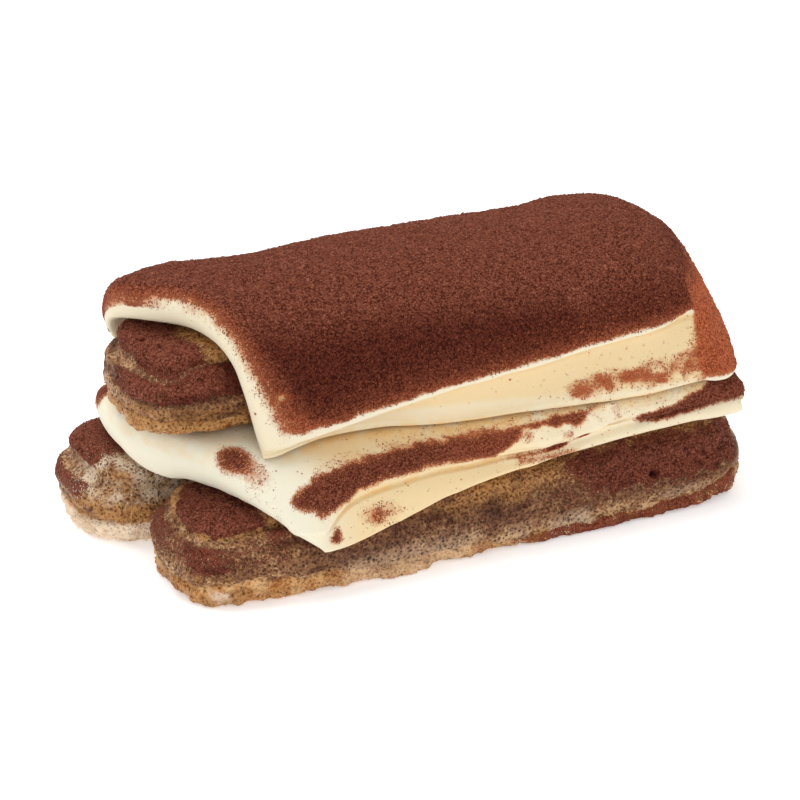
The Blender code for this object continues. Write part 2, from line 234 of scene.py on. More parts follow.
class Finish:
    """A material whose surface varies from place to place."""

    def __init__(self, name):
        self.material = bpy.data.materials.new(name)
        self.material.use_nodes = True
        self.tree = self.material.node_tree
        self.shader = self.tree.nodes["Principled BSDF"]
        self.place = self.node("TexCoord", output="Object")

    def node(self, kind, settings=None, inputs=None, output=0):
        """A node of a kind, with its settings and then its sockets' values or links."""
        made = self.tree.nodes.new("ShaderNode" + kind)
        for name, setting in (settings or {}).items():
            setattr(made, name, setting)
        for name, value in (inputs or {}).items():
            if isinstance(value, Value):
                self.tree.links.new(value.socket, made.inputs[name])
            else:
                made.inputs[name].default_value = value
        return Value(self, made.outputs[output])

    def places(self, shift, long=1.0):
        """The piece's own places, moved so that patterns differ and drawn out where long is more."""
        spread = (1 / long, 1 / long, 1.0)
        settings = {"operation": "MULTIPLY_ADD"}
        return self.node("VectorMath", settings, {0: self.place, 1: spread, 2: (shift,) * 3})

    def noise(self, size, detail=2.0, shift=0.0, long=1.0):
        """Noise from 0 to 1, mostly near a half, with lumps of about a size, or long and flat ones."""
        inputs = {"Vector": self.places(shift, long), "Scale": 1 / (size * MM), "Detail": detail}
        return self.node("TexNoise", None, inputs)

    def spots(self, size, shift=0.0):
        """Distance to the nearest of scattered spots, from 0 to about 0.8."""
        return self.node("TexVoronoi", None, {"Vector": self.places(shift), "Scale": 1 / (size * MM)})

    def painted(self, name):
        return self.node("Attribute", {"attribute_name": name}, output="Fac")

    def mix(self, share, first, second, blend="MIX"):
        """A colour between two colours."""
        colours = [c if isinstance(c, Value) else (*c, 1.0) for c in (first, second)]
        settings = {"data_type": "RGBA", "blend_type": blend}
        return self.node("Mix", settings, {0: share, 6: colours[0], 7: colours[1]}, output=2)

    def fix(self, **values):
        """Sets the shader's sockets that are the same all over, with _ for a space in a name."""
        for name, value in values.items():
            self.shader.inputs[name.replace("_", " ")].default_value = value

    def done(self, colour, relief, depth, roughness):
        """Links the colour, the fine relief, whose depth is in millimetres, and the roughness."""
        self.tree.links.new(colour.socket, self.shader.inputs["Base Color"])
        bump = self.node("Bump", None, {"Strength": 1.0, "Distance": depth * MM, "Height": relief})
        self.tree.links.new(bump.socket, self.shader.inputs["Normal"])
        if isinstance(roughness, Value):
            self.tree.links.new(roughness.socket, self.shader.inputs["Roughness"])
        else:
            self.fix(Roughness=roughness)
        return self.material


COCOA_DARK = (0.075, 0.013, 0.005)
COCOA = (0.195, 0.050, 0.026)
COCOA_LIGHT = (0.33, 0.115, 0.070)
COCOA_DEEP = (0.54, 0.38, 0.34)
COCOA_THIN_DARK = (0.27, 0.050, 0.017)
COCOA_THIN_LIGHT = (0.55, 0.150, 0.062)


def cocoa(finish):
    """Cocoa's colour, how much of it covers the surface, and its relief of grains."""
    fleck = finish.noise(0.26, 2.0)
    clump = finish.noise(1.3, 3.0, shift=0.3)
    grain = finish.spots(0.46)
    amount = finish.painted("cocoa")
    loose = (fleck - 0.5) * 1.7 + (clump - 0.5) * 0.9 + (0.36 - grain) * 0.6
    covered = (amount + loose).ramp(0.55, 0.65)
    tone = fleck * 0.9 + clump * 0.45 - grain * 0.65
    colour = finish.mix(tone.ramp(0.14, 0.40), COCOA_DARK, COCOA)
    colour = finish.mix(tone.ramp(0.44, 0.66), colour, COCOA_LIGHT)
    # Darker where painted deep; on the biscuits and the upper sheet's front slope part of this is painted
    # shade.
    colour = finish.mix(finish.painted("deep"), colour, COCOA_DEEP, "MULTIPLY")
    thin_tone = (tone + (fleck - 0.5)).ramp(0.05, 0.62)
    thin_colour = finish.mix(thin_tone, COCOA_THIN_DARK, COCOA_THIN_LIGHT)
    thin = finish.painted("thin") * (0.6 + fleck * 0.8)
    colour = finish.mix(thin.ramp(0.0, 1.0), colour, thin_colour)
    return colour, covered, tone


SPONGE_PIT_SHADE = (0.045, 0.014, 0.006)
SPONGE_DARK = (0.135, 0.050, 0.022)
SPONGE = (0.27, 0.122, 0.052)
SPONGE_LIGHT = (0.56, 0.345, 0.175)
SPONGE_PALE = (0.68, 0.53, 0.38)
SOAKED_AMBER = (0.19, 0.062, 0.012)
SOAKED_LIGHT = (0.50, 0.25, 0.085)
SOAKED_AND_SHADED_DEEP = (0.50, 0.42, 0.40)
CRUST = (0.50, 0.215, 0.060)
CRUST_LIGHT = (0.72, 0.43, 0.20)
CRUST_BROWN = (0.28, 0.085, 0.018)
CRUST_PALE = (0.86, 0.68, 0.50)


def biscuit_finish():
    """Soaked sponge with painted shade in its pores and pits, a sugar crust, an amber wet zone and the cocoa
    on it.
    """
    finish = Finish("soaked_biscuit")
    fine = finish.noise(0.45, 3.0)
    patch = finish.noise(3.2, 3.0, shift=0.7)
    pore = finish.spots(0.62)
    pit = finish.spots(1.15, shift=0.4)
    deep = finish.painted("deep")
    layer = finish.noise(1.3, 2.0, shift=0.5, long=4.0)
    walls = fine * 0.5 + patch * 0.4 + layer * 0.3 + pore * 0.25 - deep * 0.16
    colour = finish.mix(walls.ramp(0.52, 0.68), SPONGE_DARK, SPONGE)
    colour = finish.mix(walls.ramp(0.68, 0.86), colour, SPONGE_LIGHT)
    pale = finish.painted("pale")
    colour = finish.mix(pale * walls.ramp(0.42, 0.68), colour, SPONGE_PALE)
    # Painted shade: the pores and pits are painted near black, as the shade inside them.
    pits = pore.ramp(0.30, 0.16) * fine.ramp(0.40, 0.5) * 0.75
    colour = finish.mix(pits, colour, SPONGE_PIT_SHADE)
    colour = finish.mix(pit.ramp(0.26, 0.12) * 0.8, colour, SPONGE_PIT_SHADE)
    crust = finish.mix((patch + fine * 0.4).ramp(0.56, 0.84), CRUST, CRUST_LIGHT)
    crust = finish.mix((fine * 0.6 + patch * 0.4).ramp(0.48, 0.38), crust, CRUST_BROWN)
    crust = finish.mix(pale * patch.ramp(0.15, 0.42), crust, CRUST_PALE)
    colour = finish.mix(finish.painted("crust"), colour, crust)
    amber = finish.mix((fine + pore * 0.3).ramp(0.42, 0.72), SOAKED_AMBER, SOAKED_LIGHT)
    wet = finish.painted("wet")
    soaked = wet * (patch + fine * 0.3).ramp(0.42, 0.62) + (wet - 1.3).ramp(0.0, 0.5)
    colour = finish.mix(soaked, colour, amber)
    # Darker where painted deep: soaked sponge, and painted shade in recessed layers and pits.
    colour = finish.mix(deep * patch.ramp(0.3, 0.6) * 0.6, colour, SOAKED_AND_SHADED_DEEP, "MULTIPLY")
    dust, covered, grain = cocoa(finish)
    colour = finish.mix(covered, colour, dust)
    relief = (fine * 0.9 + pore.ramp(0.1, 0.4) * 0.7 + pit.ramp(0.1, 0.3) * 0.6) * (1 - covered * 0.7)
    relief = relief + grain * covered
    finish.fix(Subsurface_Weight=0.06, Subsurface_Radius=(1.0, 0.4, 0.2), Subsurface_Scale=0.8 * MM)
    finish.fix(Specular_IOR_Level=0.18)
    return finish.done(colour, relief, 0.36, covered * 0.4 + 0.5 - wet * 0.15)


biscuit_material = biscuit_finish()
END_DEPTH = 0.8
BLUNTNESS = 2.5
LEFT_END = -36
CREASE_WIDTH = 0.085
CREASE_DEPTH = 1.35
RIM_BEYOND_CREASE = 0.13
LAYER_THICKNESS = 1.5
LAYER_DEPTH = 0.38
PORE_SIZE = 1.15
PORE_DEPTH = 0.28
HOLE_SIZE = 3.1
HOLE_DEPTH = 0.6
CRUST_THICKNESS = 0.30
CHIP_SIZES = (1.7, 0.8)
CHIP_DEPTH = 0.7
CRUST_EDGE_DEPTH = 0.4


def crown_share(points, low, high):
    """How far out in plan a point of a biscuit lies: 0 along its middle and 1 at its side."""
    middle = (low + high) / 2
    half_width = (high.y - low.y) / 2
    end = END_DEPTH * half_width
    beyond = np.maximum(np.abs(points[:, 0] - middle.x) - ((high.x - low.x) / 2 - end), 0) / end
    aside = np.abs(points[:, 1] - middle.y) / half_width
    return (beyond**BLUNTNESS + aside**BLUNTNESS) ** (1 / BLUNTNESS)


def showing(middles, normals):
    """Marks a biscuit's faces that can be seen from the front and the left end."""
    return (normals[:, 2] > -0.6) & ((normals[:, 1] < -0.25) | (middles[:, 0] < LEFT_END))


def biscuit(node, seed, crust_heights, crease_path, pits=(), ledges=()):
    """A ladyfinger: points of the node moved into crown, crease, pores and ragged crust."""
    piece = fine_piece(node + "_sponge", node)
    divide(piece, showing)
    low, high = node_box(node)
    points, normals = read_shape(piece)
    x, y, z = points.T
    height = z - low.z
    soft = layered(points, 7.0, seed)
    beyond_crease = crown_share(points, low, high) - (np.interp(x, *crease_path) + 0.025 * soft)
    crease = ramp(CREASE_WIDTH, 0.0, np.abs(beyond_crease)) * ramp(6.0, 9.0, height) * ramp(-18, -30, x)
    rim = ramp(0.16, 0.05, np.abs(beyond_crease - RIM_BEYOND_CREASE))
    flat = points * np.array((0.2, 0.2, 1.0))
    strata = lumps(flat, LAYER_THICKNESS, seed + 43) * ramp(-16, -34, x) * ramp(-0.02, 0.08, beyond_crease)
    out = 0.2 * soft + LAYER_DEPTH * strata - CREASE_DEPTH * crease + 0.25 * rim

    crust_top = np.interp(x, *crust_heights) + 0.9 * lumps(points, 3.0, seed + 5) + 0.6 * soft
    crust = ramp(0.35, -0.35, height - crust_top)
    pore = ramp(0.5, 0.15, cell_distance(points, PORE_SIZE, seed + 11))
    hole = ramp(0.3, 0.1, cell_distance(points, HOLE_SIZE, seed + 17))
    out -= (1 - crust) * (PORE_DEPTH * pore + HOLE_DEPTH * hole) * (1 - 0.4 * crease)
    large_chips = ramp(0.2, 0.75, cell_distance(points, CHIP_SIZES[0], seed + 23))
    small_chips = ramp(0.15, 0.6, cell_distance(points, CHIP_SIZES[1], seed + 25))
    chips = 0.6 * large_chips + 0.5 * small_chips * lumps(points, 4.0, seed)
    crust_out = CRUST_THICKNESS - CHIP_DEPTH * chips + 0.3 * lumps(points, 1.1, seed + 31)
    out += crust * (crust_out + 0.3 * lumps(points, 5.0, seed + 37))
    out -= CRUST_EDGE_DEPTH * ramp(0.9, 0.0, np.abs(height - crust_top))
    for pit, reach, depth in pits:
        out -= depth * near(points, pit, reach)
    for middle, width, amount in ledges:
        out += amount * ramp(width, width * 0.8, np.abs(x - middle)) * ramp(2.6, 1.2, height)
    out *= ramp(0.0, 0.4, height)
    write_shape(piece, points + normals * out[:, None])
    piece.data.materials.append(biscuit_material)
    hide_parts(node)
    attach(piece, "root")
    return piece, points, crust, beyond_crease, strata


FRONT_CRUST = (
    (-54, -48, -38, -24, -10, 10, 26, 36, 46, 55),
    (3.2, 5.2, 4.0, 2.9, 2.2, 2.3, 1.6, 2.0, 3.2, 5.0),
)
FRONT_CREASE = ((-60, -52, -40), (0.86, 0.82, 0.77))
FRONT_PIT = (37.2, -29.2, 8.8)
FRONT_PITS = ((FRONT_PIT, 1.1, 3.0), ((-52.4, -10.5, 9.0), 1.5, 0.5))
FRONT_LEDGES = ((-13.0, 5.5, 0.9), (2.0, 3.5, -0.5))
FLAKE = (-47.8, -27.1, 2.2)
AMBER_SPOT = (-44.4, -28.2, 3.0)

front, points, crust, beyond_crease, strata = biscuit(
    "biscuit_lower_front", 3, FRONT_CRUST, FRONT_CREASE, FRONT_PITS, FRONT_LEDGES
)
x, y, z = points.T
blotch = lumps(points, 4.5, 41)
fine_blotch = lumps(points, 1.8, 42)
left = ramp(-30, -38, x)
bare_rim = 0.15 * ramp(-18, -11, y + 1.5 * fine_blotch) + 0.04 * fine_blotch
crown = ramp(0.01, -0.05, beyond_crease + bare_rim) * ramp(-36, -40, x + 1.5 * blotch)
second_lobe = ramp(0.02, 0.06, beyond_crease) * ramp(5.2, 7.8, z + 1.3 * blotch)
left_dust = crown * 1.2 + second_lobe * (0.85 + 0.4 * blotch)
right_dust = ramp(15, 29, x + 6 * blotch) * ramp(6.6, 9.0, z + 1.2 * fine_blotch)
right_dust *= ramp(14.4, 13.0, z - 0.6 * fine_blotch) * (1.05 + 0.25 * blotch)
right_dust *= ramp(57.5, 55.0, x + 0.8 * fine_blotch)
crust_dust = ramp(6, 14, x + 3 * blotch) * crust * (0.95 + 0.3 * fine_blotch) * ramp(57, 54, x)
haze = (0.34 + 0.2 * ramp(10, 20, x) * ramp(56, 50, x)) * (1 - crust) * ramp(-30, -10, x) * ramp(4, 6, z)
front_cocoa = left * left_dust + (1 - left) * (right_dust + crust_dust) + haze

wet_side = (0.95 + 0.6 * fine_blotch) * ramp(8.6, 11.6, z + 1.2 * blotch) * ramp(-14, 0, x)
wet_crease = 0.9 * left * (1 - crown) * ramp(0.02, -0.02, beyond_crease)
wet_flecks = 0.4 * left * (1 - crown) * ramp(0.1, 0.6, fine_blotch)
wet_right = 0.5 * ramp(44, 54, x) * ramp(9, 5, z)
wet_crust = 0.35 * crust * ramp(0.0, 0.5, blotch)
front_wet = wet_side + wet_crease + wet_flecks + wet_right + wet_crust
front_wet += 2.0 * near(points, AMBER_SPOT, (3.0, 2.4, 2.0))

front_pale = 0.55 * ramp(6.5, 3.5, z) * ramp(4, 16, x) * ramp(-0.4, 0.3, blotch)
front_pale += 0.3 * ramp(-30, -20, x) * ramp(8, 3, z) * ramp(8, -6, x)
front_pale += 1.5 * near(points, FLAKE, (3.0, 2.4, 2.2))
front_deep_and_shade = left * 0.15 + (1 - left) * between(z, 4.5, 11.5, 2.0) * (0.8 + 0.5 * blotch)
# Painted shade: darker in the recessed layers of the sponge.
front_deep_and_shade += 0.7 * ramp(0.0, -0.6, strata)
front_deep_and_shade += 0.8 * ramp(0.0, 0.6, lumps(points, 2.4, 44)) * between(x, -14, 28, 6.0) * ramp(7, 9, z)
front_deep_and_shade *= 1 - 0.8 * np.clip(right_dust + crown, 0, 1)
# Painted shade: dark inside the pit.
front_deep_and_shade += 2 * near(points, FRONT_PIT, 1.3)
paint(
    front,
    crust=crust,
    cocoa=front_cocoa,
    wet=front_wet,
    pale=front_pale,
    thin=0.3 * crust,
    deep=front_deep_and_shade,
)
front_cover = np.clip(front_cocoa, 0, 1)

BACK_CRUST = ((-60, -56, -50, -30, 0, 55), (4.6, 4.6, 4.4, 3.0, 2.6, 3.0))
BACK_CREASE = ((-60, -52, -44), (0.87, 0.86, 0.9))

back, points, crust, beyond_crease, strata = biscuit("biscuit_lower_back", 5, BACK_CRUST, BACK_CREASE)
x, y, z = points.T
blotch = lumps(points, 4.0, 47)
fine_blotch = lumps(points, 1.6, 48)
crown = ramp(0.0, -0.06, beyond_crease)
second_lobe = ramp(0.03, 0.07, beyond_crease) * ramp(5.5, 8.0, z + 0.8 * blotch)
far_side = ramp(5.5, 10.5, y + 1.2 * fine_blotch)
back_cocoa = crown * (0.35 + 0.7 * ramp(7, 11, y)) + second_lobe * (0.12 + 0.85 * far_side)
back_wet = 0.9 * ramp(3.6, 5.0, z) * ramp(10.0, 7.5, z) * ramp(17, 9, y) + 0.5 * ramp(0.2, 0.7, blotch)
back_pale = 0.95 * ramp(17, 11, y) * ramp(7.0, 8.5, z) * ramp(-0.7, 0.3, fine_blotch)
back_pale += 1.3 * crust * ramp(5.0, 3.4, z + 0.5 * blotch)
# Darker in a band along the near side, and painted shade in the recessed layers.
back_deep_and_shade = 0.3 * between(z, 5.0, 8.0, 1.5) * ramp(16, 8, y) + 0.5 * ramp(0.0, -0.6, strata)
paint(back, crust=crust, cocoa=back_cocoa, wet=back_wet, pale=back_pale, thin=0.0, deep=back_deep_and_shade)
back_cover = np.clip(back_cocoa, 0, 1) * ramp(-40, -46, x)
back_sugar = ramp(16, 11, y) * ramp(7.0, 8.5, z) * ramp(12.5, 11.5, z) * ramp(-46, -50, x)
back_sugar += 0.3 * crust * ramp(-44, -48, x)

# Upper biscuit: a third ladyfinger on the lower sheet of cream. Its left end shows: a dusted crown, the
# crease of the piping under it, a dusted side and a tan crust.

UPPER_CRUST = ((-56, -50, -40, 50), (2.9, 2.6, 2.0, 2.4))
UPPER_CREASE = ((-56, -50, -43), (0.87, 0.85, 0.79))
UPPER_PITS = (((-50.5, -0.8, 41.8), 1.2, 1.5), ((-47.0, 5.0, 41.8), 1.2, 0.4))

upper, points, crust, beyond_crease, strata = biscuit(
    "biscuit_upper", 9, UPPER_CRUST, UPPER_CREASE, UPPER_PITS
)
upper_low, upper_high = node_box("biscuit_upper")
x, y, z = points.T
height = z - upper_low.z
blotch = lumps(points, 4.0, 53)
fine_blotch = lumps(points, 1.7, 54)
near_cream = ramp(-47.5, -43.5, x - 0.35 * np.abs(y + 3) + 0.8 * fine_blotch)
crown = ramp(0.03, -0.03, beyond_crease)
lobe_from = np.interp(y, (-11, -5, 2), (0.0, 0.01, 0.06))
second_lobe = ramp(lobe_from, lobe_from + 0.04, beyond_crease) * ramp(5.5, 7.5, height + 1.2 * blotch)
second_lobe *= (0.35 + 0.65 * ramp(3, -4, y + 2 * blotch)) * (0.9 + 0.45 * strata + 0.3 * fine_blotch)
upper_cocoa = crown * (1.2 - 1.05 * near_cream) + second_lobe * (0.95 + 0.4 * blotch)
upper_cocoa += 0.25 * (1 - crust)
upper_wet = near_cream * crown + 0.8 * ramp(7.0, 5.0, height) * ramp(-0.5, 0.3, blotch) + 0.7 * crust
upper_pale = 0.2 * ramp(0.02, 0.0, np.abs(beyond_crease)) + 0.5 * ramp(3.5, 4.5, height) * ramp(7, 6, height)
# Darker low on the near side, and painted shade in the recessed layers.
upper_deep_and_shade = 0.55 * ramp(8.0, 4.0, height) * ramp(3, -6, y) * (1 - crust) + 0.9 * ramp(0.0, -0.6, strata)
paint(
    upper,
    crust=0.75 * crust,
    cocoa=upper_cocoa,
    wet=upper_wet,
    pale=upper_pale * ramp(0.0, 0.5, blotch),
    thin=0.0,
    deep=upper_deep_and_shade,
)
upper_cover = np.clip(upper_cocoa, 0, 1) * ramp(-38, -42, x)

# Lower sheet: set mascarpone cream, spread thick over the two lower biscuits and sagging between them.
# Its front is folded under a lip. Cocoa has caught on the lip in a band, and in a few spots.

IVORY = (0.795, 0.745, 0.59)
CREAM_YELLOW = (0.80, 0.62, 0.355)
CREAM_WARM_AND_SHADE = (0.82, 0.53, 0.22)
COCOA_STAIN = (0.50, 0.155, 0.050)


def cream_finish():
    """Ivory cream, yellower where it is thick or wet, with pinholes, a warm tint that is partly painted shade
    in its creases, and the cocoa on it.
    """
    finish = Finish("mascarpone_cream")
    cloud = finish.noise(4.0, 3.0)
    fine = finish.noise(0.7, 3.0, shift=0.2)
    hole = finish.spots(2.3)
    yellow = finish.painted("yellow")
    colour = finish.mix(yellow * (0.75 + cloud * 0.5), IVORY, CREAM_YELLOW)
    colour = finish.mix(finish.painted("warm") * cloud.ramp(0.3, 0.6), colour, CREAM_WARM_AND_SHADE)
    pinholes = hole.ramp(0.13, 0.05) * yellow
    colour = finish.mix(pinholes * 0.5, colour, CREAM_WARM_AND_SHADE)
    dust, covered, grain = cocoa(finish)
    stain = (finish.painted("cocoa") + (cloud - 0.5) * 0.2 + (fine - 0.5) * 0.4).ramp(0.27, 0.78)
    colour = finish.mix(stain * 0.92, colour, COCOA_STAIN)
    colour = finish.mix(covered, colour, dust)
    relief = fine * 0.2 + grain * covered - pinholes * 0.3
    finish.fix(Subsurface_Weight=0.10, Subsurface_Radius=(1.0, 0.7, 0.4), Subsurface_Scale=1.2 * MM)
    finish.fix(Specular_IOR_Level=0.12)
    return finish.done(colour, relief, 0.45, covered * 0.4 + 0.5)


cream_material = cream_finish()


def cream_piece(node):
    """A sheet of cream as a fine piece in the node's place, its points and its normals."""
    piece = fine_piece(node + "_sheet", node)
    piece.data.materials.append(cream_material)
    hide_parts(node)
    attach(piece, "root")
    points, normals = read_shape(piece)
    return piece, points, normals


# Paths along the sheet, each with its places and its heights there, or the crease's depths.
CREASE_PATH = ((-32, -25, -16, -2, 11, 27, 47), (-21.1, -19.5, -20.0, -23.6, -26.1, -28.3, -28.4))
BAND_TOP = (
    (-36, -34.5, -30.6, -28, -23, -18, -13, -8, -2, 10, 14, 18, 23, 26),
    (18.4, 19.2, 20.4, 21.0, 21.7, 22.0, 22.4, 22.7, 22.9, 23.1, 23.5, 23.8, 24.1, 24.5),
)
BAND_LOW = (
    (-36, -34, -30, -27, -24, -21.5, -15, -10, -5, 0, 3, 5, 9, 11, 16, 18.5, 21.5, 24),
    (18, 17.2, 16.3, 16.1, 16.9, 18.2, 19.1, 19.5, 19.8, 19.8, 19, 19.2, 21.3, 22.3, 22.4, 21.9, 22.4, 23.5),
)
FOLD = (
    (-29, -26.6, -23.8, -21.4, -17.9, -13.6, -9.7, -4.9, 0, 8, 16, 18.7, 22.3, 24.7, 28.5, 32),
    (12.0, 14.2, 15.8, 16.3, 16.8, 17.2, 17.6, 17.9, 18.0, 18.3, 18.4, 18.6, 19.8, 20.2, 21.1, 21.4),
)
# White lumps beside the slashes, each with its middle, its reach and its rise.
BLOBS = (
    ((11.0, -29.3, 21.9), 2.6, 0.8),
    ((14.5, -29.6, 21.2), 3.2, 1.0),
    ((18.5, -29.8, 21.3), 2.8, 0.9),
    ((24.5, -29.5, 22.5), 3.2, 1.0),
    ((28.0, -29.2, 23.3), 2.6, 0.8),
)
WEDGE_TOP = ((31.8, 36.1, 40.1, 44.7, 48.6, 51, 54), (21.5, 21.6, 22.2, 23.3, 24.3, 25.4, 27.0))
WEDGE_LOW = ((32, 34.5, 37.3, 40.7, 45.7, 50, 56), (21.0, 19.8, 19.3, 19.5, 19.9, 20.3, 20.5))
# Cocoa caught away from the band: places, reaches and strengths.
SPOTS = (
    ((-41.6, -18.8, 24.1), 5.4, 1.1),
    ((-39.2, -23.0, 22.2), 5.2, 0.30),
    ((-51.6, 17.0, 24.0), 5.5, 1.2),
    ((-27.4, -31.2, 10.9), (2.2, 2.4, 1.9), 0.85),
    ((-26.9, -31.0, 12.4), (1.6, 2.0, 1.6), 0.5),
    ((-29.6, -30.6, 15.6), (2.6, 2.6, 1.8), 0.55),
)
SPECKLES = (
    ((-18.3, -30.4, 13.6), (8.5, 6.0, 3.4), 0.46),
    ((-19.3, -30.6, 12.6), 2.4, 0.3),
)
ROLL_HEIGHT = 18.2


def marks(points, places):
    """The sum of round marks, each with its middle, its reach and its strength."""
    return sum(strength * near(points, middle, reach) for middle, reach, strength in places)


lower, points, normals = cream_piece("cream_lower")
x, y, z = points.T
ragged = 0.5 * lumps(points, 2.2, 61) + 0.4 * lumps(points, 0.9, 62)
front_side = ramp(-8, -14, y)
crease = ramp(2.2, 0.0, np.abs(y - np.interp(x, *CREASE_PATH))) * ramp(21.5, 23.0, z) * ramp(-36, -30, x)
band_top = np.interp(x, *BAND_TOP)
band_soft = np.interp(x, (4, 12), (1.0, 0.5))
above_low = (z + 0.6 * ragged - np.interp(x, *BAND_LOW)) / band_soft
below_top = (band_top - z - 0.6 * ragged) / band_soft
band = np.minimum(ramp(-1.5, 1.5, above_low), ramp(-1.3, 1.3, below_top))
band *= between(x, -35, 25.5, 1.8) * front_side
from_fold = z - np.interp(x, *FOLD) + 0.12 * ragged
fold = ramp(0.55, 0.1, np.abs(from_fold)) * between(x, -28.5, 31.5, 1.0) * front_side
blob = sum(near(points, middle, reach) for middle, reach, rise in BLOBS)
cuts = np.maximum(between(x, 15.4, 19.0, 0.5), between(x, 21.6, 23.4, 0.4))
slash = ramp(0.65, 0.25, np.abs(from_fold)) * cuts
slash = (slash + 0.4 * ramp(0.9, 0.3, np.abs(from_fold)) * between(x, 6, 24, 2.0)) * front_side
wedge = between(z + 0.45 * ragged, np.interp(x, *WEDGE_LOW), np.interp(x, *WEDGE_TOP), 0.9)
wedge *= ramp(31.5, 33.5, x) * ramp(4, -22, y + 7 * ragged)
wedge = np.maximum(wedge, ramp(49, 52, x) * ramp(24.4, 25.6, z) * ramp(18, -8, y + 3 * ragged))

speckles = 0.27 * ramp(1.8, 0.0, np.abs(z - band_top - 0.5)) * ramp(-34, -26, x) * ramp(30, 24, x)
speckles += marks(points, SPECKLES)
speckles += 0.45 * between(x, 8, 22, 3.0) * between(z, 16.4, 17.8, 0.6)
speckles += 0.20 * ramp(24, 30, x) * ramp(20.5, 22, z)
speckles += 0.28 * ramp(-34, -38, x) * ramp(-44, -40, x) * ramp(25, 23, z)
back_strip = 0.95 * ramp(19, 24, y) * ramp(14.0, 17.0, z + 2 * ragged) * ramp(-50, -40, x)
lower_cocoa = np.maximum(band, wedge) * 1.15 * (1 - np.clip(1.6 * blob, 0, 1))
lower_cocoa = np.maximum(lower_cocoa, speckles * front_side)
lower_cocoa += blob * (0.22 + 0.35 * lumps(points, 1.6, 69))
lower_cocoa = np.maximum(lower_cocoa + 0.9 * slash + marks(points, SPOTS), back_strip)
lower_cocoa += 0.12 * ramp(-38, -30, x) * front_side
cover = np.clip(lower_cocoa, 0, 1)

lower_yellow = front_side * ramp(-34, -20, x) * (0.75 + 0.25 * ramp(18.5, 16.5, z))
lower_yellow *= (1 - 0.2 * np.clip(blob, 0, 1)) * (0.55 + 0.55 * ramp(24, 4, x))
# A warm strip below the upper sheet's rim, and painted shade in the crease there.
lower_warm_and_shade = 0.28 * front_side * ramp(-36, -22, x) * ramp(20.5, 23.0, z) * ramp(30, 10, x) + 0.6 * crease
lower_warm_and_shade *= 1 - np.clip(blob, 0, 1)
# Painted shade and shadow: the fold is tinted warm as the shade in its crease, and the cream round the upper
# biscuit's foot is tinted warm brown, a coffee stain that also stands in for the biscuit's shadow.
soaked = ramp(1.30, 1.02, crown_share(points, upper_low, upper_high)) * ramp(21.5, 22.5, z)
lower_warm_and_shade += 0.8 * fold * (1 - slash) + 0.30 * soaked

out = 0.16 * layered(points, 6.0, 65, 2) + cover * (0.1 * lumps(points, 1.3, 67) + 0.1)
out += sum(rise * near(points, middle, reach * 1.1) for middle, reach, rise in BLOBS)
out += 0.25 * blob * lumps(points, 1.6, 68) - 0.5 * fold
out += 0.22 * ramp(1.0, 0.2, np.abs(from_fold - 1.0)) * front_side
points += normals * (out - 0.12)[:, None]
front_roll = ramp(-18, -24, y)
closing = ramp(54.0, 57.2, x) * front_roll * ramp(20.6, 19.4, z)
lowering = ramp(44, 52, x) * front_roll * ramp(20.0, 18.5, z)
points[:, 2] += 0.5 * closing * (ROLL_HEIGHT - z) - 0.5 * lowering
write_shape(lower, points)
lower_thin = 0.12 + 0.5 * ramp(1.0, 0.4, cover) + 0.22 * ramp(-12, 4, x) * ramp(30, 24, x)
paint(lower, cocoa=lower_cocoa, thin=lower_thin, yellow=lower_yellow, warm=lower_warm_and_shade, deep=0.1)
lower_cover = ramp(0.35, 0.9, cover) + 0.035 * ramp(0.05, 0.2, cover) + 0.008 * ramp(0.7, 0.95, normals[:, 2])

# Upper sheet: the same cream, arched over the upper biscuit. A dense dusting of dry cocoa covers its
# outside down to the lip, and thins to an orange veil where it closes round the right end.

AXIS_HEIGHT = 27.0
END_EDGE = (
    (3, 10, 19, 33, 46, 60, 68, 76, 82, 90, 95, 109, 140, 180),
    (-34.5, -36.4, -37.8, -39.6, -41.0, -42.6, -44.2, -45.8, -47.8, -50.2, -52.0, -53.8, -54.4, -51.0),
)
LIP_BOTTOM = ((-37, -30, -21, -8, 8, 29, 41, 48), (26.0, 26.6, 28.2, 30.8, 32.5, 34.7, 35.6, 36.6))
LIP_RISE = ((-38, -20, 10, 45), (1.9, 1.4, 1.3, 1.1))
# The width of the dusting's edge by angle round the arch, then heights along the sheet.
FRINGE = ((0, 20, 50, 80, 110, 140), (7.0, 6.0, 4.2, 3.0, 2.6, 1.6))
RIM_TOP = ((0, 45, 52, 60), (26.0, 26.4, 25.3, 24.8))
PATCH_TOP = ((14, 19, 23, 27, 35, 39, 47), (27.0, 28.0, 28.8, 29.4, 29.4, 30.2, 30.8))
BACK_LINE = 26.6
DENT = (-32.9, -22.3, 35.0)
ROUGH_LUMP = (20.8, -24.3, 38.6)
SMOOTH_LUMP = (25.4, -21.3, 42.4)

upper_sheet, points, normals = cream_piece("cream_upper")
x, y, z = points.T
outward = np.stack((np.zeros(len(x)), y, z - AXIS_HEIGHT), axis=1)
outward /= np.maximum(np.linalg.norm(outward, axis=1), 1e-6)[:, None]
facing_out = np.sum(normals * outward, axis=1)
ragged = 0.55 * lumps(points, 2.4, 71) + 0.45 * lumps(points, 0.9, 72)
round_arch = np.degrees(np.arctan2(z - AXIS_HEIGHT, -y)) % 360
past_end = x - np.interp(round_arch, *END_EDGE)
outside = ramp(-0.25, 0.05, facing_out) + ramp(-36, -32, x)
fringe = np.interp(round_arch, *FRINGE)
nose = np.clip((past_end + 0.6 * ragged) / fringe + 0.05, 0, 1) * np.clip(outside, 0, 1)
lip_bottom = np.interp(x, *LIP_BOTTOM)
dust_line = np.where(y > 0, BACK_LINE, lip_bottom + np.interp(x, *LIP_RISE))
